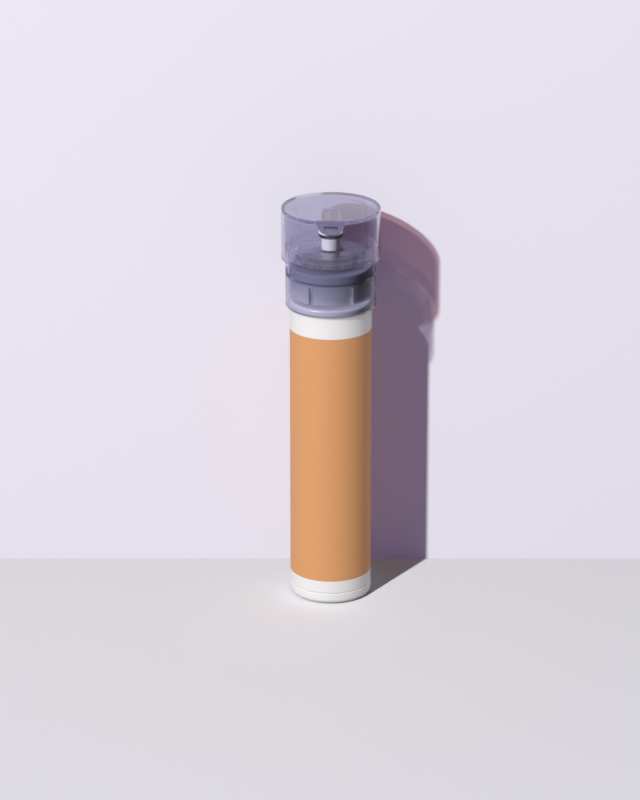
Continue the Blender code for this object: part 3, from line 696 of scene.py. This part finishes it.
def make_head(look):
    """The clear head: plate, outer wall and spout opening."""
    inner = head_radius - HEAD_WALL
    outline = [(0, head_high.z), (head_radius, head_high.z, ROUND_EDGE)]
    outline += [(head_radius, head_low.z, HEAD_FOOT_EDGE), (inner, head_low.z, FINE_EDGE)]
    outline += [(inner, nozzle_top, CRISP_EDGE), (0, nozzle_top)]
    head = turned("head_cover", outline)
    front = -head_radius - 2 * CUT_PAST
    size = (CHANNEL_WIDTH + 2 * SPOUT_GAP, -front, CHANNEL_HEIGHT + SPOUT_GAP + WAY_RISE)
    middle = (0, front / 2, nozzle_top + WAY_RISE - size[2] / 2)
    way = block("way", size, middle)
    back = spout_back + SPOUT_GAP
    opening = bar_along_y("opening", SPOUT_RADIUS, front, back, head_high.z)
    combine(head, [way, opening], "DIFFERENCE")
    return dress(head, look["clear"], "head_group", "head_shell")


def make_skirt(look):
    """The head's inner skirt with the fin that meets the lock collar's stops."""
    under = nozzle_top - SKIRT_GAP
    inner = SKIRT_RADIUS - SKIRT_WALL
    outline = [(inner, under), (SKIRT_RADIUS, under)]
    outline += [(SKIRT_RADIUS, SKIRT_BOTTOM, ROUND_EDGE), (inner, SKIRT_BOTTOM, ROUND_EDGE)]
    skirt = turned("head_skirt", outline)
    height = under - SKIRT_BOTTOM
    size = (FIN_DEPTH + FIN_ROOT, FIN_WIDTH, height)
    middle = (SKIRT_RADIUS + FIN_DEPTH - size[0] / 2, 0, SKIRT_BOTTOM + height / 2)
    combine(skirt, [block("fin", size, middle, FRONT + FIN_TURN, FINE_EDGE)], "UNION")
    return dress(skirt, look["thin"], "head_group", "head_shell")


CORE_RADIUS = 3.2 * MM
RISER_GAP = 0.15 * MM
OUTLET_RADIUS = 1.2 * MM


def make_spout_face(look):
    """The spout insert's half-round face, with its slot."""
    face = bar_along_y("spout_tip", SPOUT_RADIUS - SPOUT_GAP, spout_face, spout_back, head_high.z)
    size = (4 * SPOUT_RADIUS, 4 * SPOUT_THICKNESS, SPOUT_RADIUS * 2)
    middle = (0, (spout_face + spout_back) / 2, head_high.z - SPOUT_DROP + size[2] / 2)
    combine(face, [block("above", size, middle)], "DIFFERENCE")
    size = (SLOT_WIDTH, 6 * SPOUT_THICKNESS, SLOT_HEIGHT)
    combine(face, [block("slot", size, (0, spout_face, slot_middle))], "DIFFERENCE")
    return dress(face, look["insert"], "head_group", "nozzle_insert")


def make_outlet_shade(look):
    """A dark block behind the spout's slot: painted shade for the shaded inside of the outlet."""
    size = (SLOT_WIDTH, SPOUT_THICKNESS, SLOT_HEIGHT)
    outlet = block("outlet", size, (0, spout_back, slot_middle))
    return dress(outlet, look["outlet"], "head_group", "nozzle_insert")


def make_channel(look):
    """The spout insert's flat channel under the head's plate, with its slot and its riser."""
    front = spout_back + SMALL
    size = (CHANNEL_WIDTH, -front, CHANNEL_HEIGHT)
    middle = (0, front / 2, nozzle_top - CHANNEL_HEIGHT / 2)
    channel = block("spout_channel", size, middle)
    top = middle[2]
    bottom = core_high.z + RISER_GAP
    outline = [(0, top), (CORE_RADIUS, top), (CORE_RADIUS, bottom, PLAIN_EDGE), (0, bottom)]
    riser = turned("riser", outline, INNER_SIDES)
    combine(channel, [riser], "UNION")
    size = (SLOT_WIDTH, head_radius + 2 * CUT_PAST, SLOT_HEIGHT)
    slot = block("slot", size, (0, -size[1] / 2, slot_middle))
    low = bottom - CUT_PAST
    outline = [(0, slot_middle), (OUTLET_RADIUS, slot_middle), (OUTLET_RADIUS, low), (0, low)]
    combine(channel, [slot, turned("bore", outline, BORE_SIDES)], "DIFFERENCE")
    return dress(channel, look["way"], "head_group", "nozzle_insert")


RING_RADIUS = 4.2 * MM
RING_THICKNESS = 0.6 * MM
RING_PITCH = 1.2 * MM
SOCKET_BORE = 2.15 * MM
CORE_TOP_WALL = 1.0 * MM


def make_core(look):
    """The white socket on the stem, with a ring at its top."""
    top = core_high.z
    under = top - RING_THICKNESS
    bore_top = top - CORE_TOP_WALL
    outline = [(OUTLET_RADIUS, top, CRISP_EDGE), (RING_RADIUS, top, EASED_EDGE)]
    outline += [(RING_RADIUS, under, EASED_EDGE), (CORE_RADIUS, under, SMALL)]
    outline += [(CORE_RADIUS, core_low.z, SOFT_EDGE), (SOCKET_BORE, core_low.z, CRISP_EDGE)]
    outline += [(SOCKET_BORE, bore_top, CRISP_EDGE), (OUTLET_RADIUS, bore_top, CRISP_EDGE)]
    core = turned("stem_socket", outline, INNER_SIDES)
    return dress(core, look["white"], "head_group", "head_core")


def make_ring(look):
    """The dark tinted ring under the socket's white one."""
    top = core_high.z - RING_PITCH + SMALL
    under = top - RING_THICKNESS - SMALL
    outline = [(CORE_RADIUS, top, CRISP_EDGE), (RING_RADIUS, top, ROUND_EDGE)]
    outline += [(RING_RADIUS, under, ROUND_EDGE), (CORE_RADIUS, under, CRISP_EDGE)]
    ring = turned("socket_ring", outline, INNER_SIDES)
    return dress(ring, look["ring"], "head_group", "head_core")


# Pump pieces that show dimly through the clear plastic
STEM_BORE = 1.3 * MM
STEM_RADIUS = 2.1 * MM
FLANGE_TOP = 119.6 * MM
FLANGE_THICKNESS = 1.0 * MM
WIRE = 0.6 * MM
WIRE_ROUNDNESS = 4
COIL_TURNS = 6.5
COIL_STEPS = 224


def make_stem(look):
    """The hollow stem and its flange."""
    flange = stem_high.x
    under = FLANGE_TOP - FLANGE_THICKNESS
    outline = [(STEM_BORE, stem_high.z, CRISP_EDGE), (STEM_RADIUS, stem_high.z, PLAIN_EDGE)]
    outline += [(STEM_RADIUS, FLANGE_TOP, PLAIN_EDGE), (flange, FLANGE_TOP, PLAIN_EDGE)]
    outline += [(flange, under, PLAIN_EDGE), (STEM_RADIUS, under, PLAIN_EDGE)]
    outline += [(STEM_RADIUS, stem_low.z, PLAIN_EDGE), (STEM_BORE, stem_low.z, CRISP_EDGE)]
    stem = turned("stem_tube", outline, STEM_SIDES)
    return dress(stem, look["smoky"], "stem_group", "pump_stem")


def make_spring(look):
    """The return spring's helix, in the room its solid has."""
    radius = spring_high.x - WIRE / 2
    low = spring_low.z + WIRE / 2
    rise = spring_high.z - spring_low.z - WIRE
    curve = bpy.data.curves.new("return_coil", "CURVE")
    curve.dimensions = "3D"
    curve.bevel_depth = WIRE / 2
    curve.bevel_resolution = WIRE_ROUNDNESS
    curve.use_fill_caps = True
    path = curve.splines.new("POLY")
    path.points.add(COIL_STEPS)
    for step, point in enumerate(path.points):
        angle = 2 * math.pi * COIL_TURNS * step / COIL_STEPS
        height = low + rise * step / COIL_STEPS
        point.co = (radius * math.cos(angle), radius * math.sin(angle), height, 1)
    coil = bpy.data.objects.new("return_coil", curve)
    bpy.context.scene.collection.objects.link(coil)
    return dress(coil, look["steel"], "bottle_body", "return_spring")


# Studio: camera limits, stage and world
CLIP_NEAR = 0.01
CLIP_FAR = 50
WALL = (0.744, 0.742, 0.780)
FLOOR = (0.84, 0.845, 0.89)
BOUNCE = (0.20, 0.20, 0.20)
STAGE_REACH = 4.0
WALL_PLACE = 0.027
CLEAR = (1.0, 1.0, 1.0)
SKY = (0.785, 0.745, 0.845)
SKY_TOP = (0.06, 0.055, 0.07)
SKY_LOW = 0.10
SKY_HIGH = 0.30
WORLD_COLOUR = (1.0, 0.86, 0.97)
WORLD_LIGHT = 0.125
HALF_BOUNCE = 0.5

# Lamps
KEY_TURN = math.radians(-33)
KEY_RISE = math.radians(34)
LAMP_DISTANCE = 5.0
KEY_SIZE = 0.12
KEY_POWER = 240.0
KEY_COLOUR = (1.0, 0.995, 0.99)
STAGE_POWER = 300.0
INSIDE_POWER = 420.0
INSIDE_COLOUR = (0.94, 0.93, 1.0)
INSIDE_TURN = math.radians(-47)
OVERHEAD = math.pi / 2
DOME_POWER = 1.6
DOME_COLOUR = (1.0, 0.97, 0.98)
INSIDE_DOME = 0.35
FILL_POWER = 0.338
FILL_COLOUR = (0.555, 0.28, 1.0)


def make_camera():
    """The camera at the photograph's viewing angle."""
    data = bpy.data.cameras.new("camera")
    data.sensor_width = SENSOR
    data.lens = FOCAL_PIXELS * SENSOR / IMAGE_HEIGHT
    data.clip_start = CLIP_NEAR
    data.clip_end = CLIP_FAR
    camera = bpy.data.objects.new("camera", data)
    bpy.context.scene.collection.objects.link(camera)
    size = VIEW_DISTANCE / FOCAL_PIXELS
    aside = (MIDDLE_PIXEL.x - AXIS_PIXEL.x) * size
    raised = (AXIS_PIXEL.y - MIDDLE_PIXEL.y) * size
    up = Vector((0, math.sin(VIEW_ELEVATION), math.cos(VIEW_ELEVATION)))
    target = Vector((aside, 0, VIEW_HEIGHT)) + up * raised
    back = Vector((0, -math.cos(VIEW_ELEVATION), math.sin(VIEW_ELEVATION)))
    camera.location = target + back * VIEW_DISTANCE
    camera.rotation_euler = (target - camera.location).to_track_quat("-Z", "Y").to_euler()
    bpy.context.scene.camera = camera


def lamp(name, data, azimuth, elevation, receivers, blockers=None):
    """A lamp that looks at the object's middle and lights its receivers. Only its blockers cast
    shadows in its light, or all objects if none are given. Azimuth 0 is the camera's."""
    made = bpy.data.objects.new(name, data)
    bpy.context.scene.collection.objects.link(made)
    flat = LAMP_DISTANCE * math.cos(elevation)
    rise = LAMP_DISTANCE * math.sin(elevation)
    middle = Vector((0, 0, VIEW_HEIGHT))
    made.location = middle + Vector((flat * math.sin(azimuth), -flat * math.cos(azimuth), rise))
    made.rotation_euler = (middle - made.location).to_track_quat("-Z", "Y").to_euler()
    made.visible_transmission = False
    made.light_linking.receiver_collection = receivers
    if blockers:
        made.light_linking.blocker_collection = blockers


def group(name, members):
    """A group of objects that lamps can name."""
    made = bpy.data.collections.new(name)
    for member in members:
        made.objects.link(member)
    return made


def make_lamps(stage, inner_pieces):
    """A small key lamp and a soft dome for the object, and the same key at another level for the
    stage. The pieces inside the clear plastic are lit by a key and a dome of their own alone. A
    violet fill from the camera's side colours the shadow on the wall."""
    whole = group("lit_object", [piece for piece in pieces if piece not in inner_pieces])
    around = group("lit_stage", stage)
    inside = group("lit_inside", inner_pieces)
    behind = group("lit_wall", stage[1:])
    for name, power, colour, turn, receivers, blockers in (
        ("key", KEY_POWER, KEY_COLOUR, KEY_TURN, whole, None),
        ("key_on_stage", STAGE_POWER, KEY_COLOUR, KEY_TURN, around, None),
        ("key_inside", INSIDE_POWER, INSIDE_COLOUR, INSIDE_TURN, inside, inside),
    ):
        data = bpy.data.lights.new(name, "AREA")
        data.size = KEY_SIZE
        data.energy = power
        data.color = colour
        lamp(name, data, turn, KEY_RISE, receivers, blockers)
    for name, power, receivers, blockers in (
        ("dome", DOME_POWER, whole, None),
        ("dome_inside", INSIDE_DOME, inside, inside),
    ):
        data = bpy.data.lights.new(name, "SUN")
        data.angle = math.pi
        data.energy = power
        data.color = DOME_COLOUR
        lamp(name, data, 0, OVERHEAD, receivers, blockers)
    data = bpy.data.lights.new("fill_on_wall", "SUN")
    data.energy = FILL_POWER
    data.color = FILL_COLOUR
    lamp("fill_on_wall", data, 0, 0, behind, behind)


def calculate(nodes, links, operation, first, second):
    """A calculation on two values, each a number or another node's output."""
    node = nodes.new("ShaderNodeMath")
    node.operation = operation
    for value, socket in zip((first, second), node.inputs):
        if isinstance(value, float):
            socket.default_value = value
        else:
            links.new(value, socket)
    return node.outputs["Value"]


def seen_rays(nodes, links, also=("Is Glossy Ray", "Is Transmission Ray")):
    """One for rays of the camera and of the other kinds named, and zero for rays that carry light
    on from a matt surface."""
    path = nodes.new("ShaderNodeLightPath")
    seen = path.outputs["Is Camera Ray"]
    for name in also:
        seen = calculate(nodes, links, "MAXIMUM", seen, path.outputs[name])
    before_matt = calculate(nodes, links, "LESS_THAN", path.outputs["Diffuse Depth"], HALF_BOUNCE)
    return calculate(nodes, links, "MULTIPLY", seen, before_matt)


def stage_sheet(name, material):
    """A wide flat sheet of the stage."""
    made_mesh = bmesh.new()
    bmesh.ops.create_grid(made_mesh, x_segments=2, y_segments=2, size=STAGE_REACH)
    sheet = finish_mesh(name, made_mesh)
    sheet.data.materials.append(material)
    return sheet


def make_floor():
    """A plain pale floor, which bounces less light than it shows."""
    made, nodes, links, shader = new_material("floor_paper")
    fine = noise(nodes, links, object_place(nodes), scale=400)
    colour = vary(nodes, links, seen_rays(nodes, links), BOUNCE, FLOOR)
    links.new(colour, shader.inputs["Base Color"])
    uneven_gloss(nodes, links, fine, shader, low=0.75, high=0.85)
    shader.inputs["Specular IOR Level"].default_value = 0.1
    return stage_sheet("floor", made)


def make_wall():
    """The plain backdrop. It shows from its front alone and stops no light."""
    made, nodes, links, shader = new_material("wall_paper")
    shader.inputs["Base Color"].default_value = (*WALL, 1)
    shader.inputs["Roughness"].default_value = 0.9
    shader.inputs["Specular IOR Level"].default_value = 0.0
    from_behind = nodes.new("ShaderNodeNewGeometry").outputs["Backfacing"]
    front = calculate(nodes, links, "SUBTRACT", seen_rays(nodes, links), from_behind)
    clear = see_through(nodes, CLEAR)
    surface = mix_shaders(nodes, links, front, clear, shader.outputs["BSDF"])
    links.new(surface, nodes["Material Output"].inputs["Surface"])
    wall = stage_sheet("wall", made)
    wall.matrix_world = Matrix.Translation((0, WALL_PLACE, 0)) @ Matrix.Rotation(math.pi / 2, 4, "X")
    return wall


def make_world():
    """Dim even light. Seen directly or through clear plastic the world has the backdrop's colour
    near the horizon and is dark above."""
    world = bpy.data.worlds.new("studio")
    bpy.context.scene.world = world
    world.use_nodes = True
    nodes = world.node_tree.nodes
    links = world.node_tree.links
    nodes.clear()
    soft = nodes.new("ShaderNodeBackground")
    soft.inputs["Color"].default_value = (*WORLD_COLOUR, 1)
    soft.inputs["Strength"].default_value = WORLD_LIGHT
    seen = nodes.new("ShaderNodeBackground")
    direction = nodes.new("ShaderNodeTexCoord").outputs["Generated"]
    height = ranged(nodes, links, height_of(nodes, links, direction), SKY_LOW, SKY_HIGH)
    links.new(vary(nodes, links, height, SKY, SKY_TOP), seen.inputs["Color"])
    share = seen_rays(nodes, links, ("Is Transmission Ray",))
    light = mix_shaders(nodes, links, share, soft.outputs["Background"], seen.outputs["Background"])
    output = nodes.new("ShaderNodeOutputWorld")
    links.new(light, output.inputs["Surface"])


# Colours of the plastics, and the tints that they give to a lamp's light
WHITE = (0.745, 0.74, 0.74)
WHITE_SHADE = (0.73, 0.725, 0.725)
# The shoulder's white plastic darkened: painted shade for the dim light inside the lower collar
SHADE_PAINTED_WHITE = (0.48, 0.48, 0.53)
SHADE_PAINTED_WHITE_CLOUD = (0.47, 0.47, 0.52)
NATURAL = (0.70, 0.70, 0.69)
NATURAL_SHADE = (0.67, 0.67, 0.66)
TAN = (0.62, 0.303, 0.133)
TAN_SHADE = (0.60, 0.293, 0.126)
SPRING_GREY = (0.58, 0.58, 0.60)
BALL_GREY = (0.66, 0.66, 0.67)
TINT = (0.685, 0.68, 0.785)
HEAD_TINT = (0.69, 0.69, 0.83)
LOCK_FOOT_TINT = (0.62, 0.62, 0.76)
LINE_TINT = (0.30, 0.29, 0.36)
# The closure's tint goes from a lighter foot to a darker top: painted shade, darker towards the top
CLOSURE_TINT = (0.31, 0.305, 0.39)
CLOSURE_LIGHTER_FOOT_TINT = (0.54, 0.535, 0.60)
INSERT_TINT = (0.31, 0.30, 0.45)
# Painted shade: the dark block behind the spout's slot stands for the shaded inside of the outlet
OUTLET_PAINTED_SHADE = (0.19, 0.18, 0.28)
RING_TINT = (0.05, 0.05, 0.09)
CHANNEL_TINT = (0.93, 0.925, 0.95)
SMOKY = (0.92, 0.92, 0.96)
TOWER_FOOT_TINT = (0.80, 0.80, 0.88)
NEAR_CLEAR = (0.985, 0.98, 0.99)
HEAD_LAMP = (0.60, 0.45, 0.41)
COLLAR_LAMP = (0.72, 0.70, 0.74)
INNER_LAMP = (0.96, 0.955, 0.97)
TOWER_LAMP = (0.45, 0.44, 0.48)

# Roughness, grain and relief of the opaque plastics
WHITE_ROUGHNESS = 0.34
WHITE_GRAIN = 2200
WHITE_RELIEF = 0.003 * MM
NATURAL_ROUGHNESS = 0.4
NATURAL_GRAIN = 1800
NATURAL_RELIEF = 0.004 * MM

# Heights between which a clear tint changes, as ways from the face that they belong to
HEAD_FADE_FOOT = 0.4 * MM
HEAD_FADE_TOP = 0.1 * MM
LOCK_FADE = 0.4 * MM
LOWER_FADE_FOOT = 0.7 * MM
LOWER_FADE_TOP = 0.5 * MM
TOWER_FADE_FOOT = 6 * MM
TOWER_FADE_TOP = 3 * MM
CLOSURE_FADE_FOOT = 1 * MM


def make_looks():
    """Every material of the object."""
    head_fade = (TINT, nozzle_top - HEAD_FADE_FOOT, nozzle_top - HEAD_FADE_TOP)
    lock_fade = (LOCK_FOOT_TINT, head_low.z - LOCK_FADE, head_low.z + LOCK_FADE)
    lower_fade = (TINT, lower_high.z - LOWER_FADE_FOOT, lower_high.z - LOWER_FADE_TOP)
    tower_fade = (TOWER_FOOT_TINT, plate_low.z - TOWER_FADE_FOOT, plate_low.z - TOWER_FADE_TOP)
    # Painted shade: the closure darkens from its foot towards its top
    closure_shade_fade = (CLOSURE_LIGHTER_FOOT_TINT, closure_low.z - CLOSURE_FADE_FOOT, lower_high.z)
    return {
        "white": moulded_plastic(
            "white_plastic", WHITE, WHITE_SHADE, WHITE_ROUGHNESS, WHITE_GRAIN, WHITE_RELIEF
        ),
        # The white plastic darkened: painted shade on the shoulder inside the collar
        "shoulder": moulded_plastic(
            "white_with_painted_shade", SHADE_PAINTED_WHITE, SHADE_PAINTED_WHITE_CLOUD, WHITE_ROUGHNESS, WHITE_GRAIN, WHITE_RELIEF
        ),
        "natural": moulded_plastic(
            "natural_plastic", NATURAL, NATURAL_SHADE, NATURAL_ROUGHNESS, NATURAL_GRAIN, NATURAL_RELIEF
        ),
        "tan": label_film("tan_film", TAN, TAN_SHADE),
        "steel": steel("spring_steel", SPRING_GREY, roughness=0.28),
        "ball": steel("ball_steel", BALL_GREY, roughness=0.10),
        "clear": clear_plastic(
            "tinted_clear", HEAD_TINT, HEAD_LAMP, depth=40, coat=1.0, fade=head_fade, foot_coat=0.25
        ),
        "lock": clear_plastic(
            "tinted_lock", NEAR_CLEAR, COLLAR_LAMP,
            roughness=0.16, ior=1.025, coat=1.0, fade=lock_fade, foot_coat=0.2,
        ),
        "lower": clear_plastic(
            "tinted_lower", LINE_TINT, COLLAR_LAMP,
            roughness=0.20, ior=1.10, depth=20, coat=0.3, fade=lower_fade,
        ),
        "thin": clear_plastic("tinted_skirt", NEAR_CLEAR, INNER_LAMP, roughness=0.03, ior=1.02),
        "neck": clear_plastic("clear_neck", NEAR_CLEAR, INNER_LAMP, ior=1.005),
        "tower": clear_plastic(
            "smoky_tower", NEAR_CLEAR, TOWER_LAMP, milk=0.12, ior=1.005, fade=tower_fade
        ),
        "smoky": clear_plastic("smoky_pump", SMOKY, TOWER_LAMP, milk=0.06, ior=1.005),
        "insert": clear_plastic(
            "tinted_insert", INSERT_TINT, HEAD_LAMP, roughness=0.10, milk=0.40, coat=0.3
        ),
        # Painted shade inside the outlet
        "outlet": clear_plastic("outlet_painted_shade", OUTLET_PAINTED_SHADE, HEAD_LAMP, roughness=0.10, milk=0.40),
        "way": clear_plastic(
            "tinted_channel", CHANNEL_TINT, INNER_LAMP, roughness=0.03, milk=0.01, ior=1.07
        ),
        "ring": clear_plastic(
            "tinted_ring", RING_TINT, HEAD_LAMP, roughness=0.08, milk=0.3, ior=1.45
        ),
        # Its fade is painted shade, darker towards the top
        "closure": clear_plastic(
            "tinted_closure", CLOSURE_TINT, INNER_LAMP,
            roughness=0.10, milk=0.48, ior=1.02, fade=closure_shade_fade,
        ),
    }


def dress_hidden_nodes(look):
    """Gives the inner solids that stay as they are their materials."""
    kept = {
        "neck_gasket": "smoky",
        "pump_housing": "tower",
        "inlet_ball": "ball",
        "pump_piston": "smoky",
        "piston_rod": "smoky",
        "follower_piston": "natural",
    }
    for node, name in kept.items():
        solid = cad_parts[node]
        solid.data.materials.clear()
        solid.data.materials.append(look[name])
        pieces.append(solid)


# Steps that a ray may take, as it passes many layers of clear plastic
RAY_STEPS = 40


def main():
    """Camera, stage, every piece and the lamps."""
    bpy.context.scene.view_settings.view_transform = "Standard"
    cycles = bpy.context.scene.cycles
    cycles.max_bounces = RAY_STEPS
    cycles.glossy_bounces = RAY_STEPS
    cycles.transmission_bounces = RAY_STEPS
    cycles.transparent_max_bounces = RAY_STEPS
    cycles.caustics_reflective = False
    cycles.caustics_refractive = False
    make_camera()
    make_world()
    stage = [make_floor(), make_wall()]
    look = make_looks()
    make_neck(look)
    make_tube(look)
    shoulder = make_shoulder(look)
    make_base(look)
    make_label(look)
    closure = make_closure(look)
    plate = make_plate(look)
    make_lower_collar(look)
    make_lock_collar(look)
    make_head(look)
    make_skirt(look)
    make_spout_face(look)
    make_outlet_shade(look)
    make_channel(look)
    core = make_core(look)
    make_ring(look)
    stem = make_stem(look)
    make_spring(look)
    dress_hidden_nodes(look)
    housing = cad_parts["pump_housing"]
    make_lamps(stage, [core, shoulder, closure, plate, stem, housing])


main()
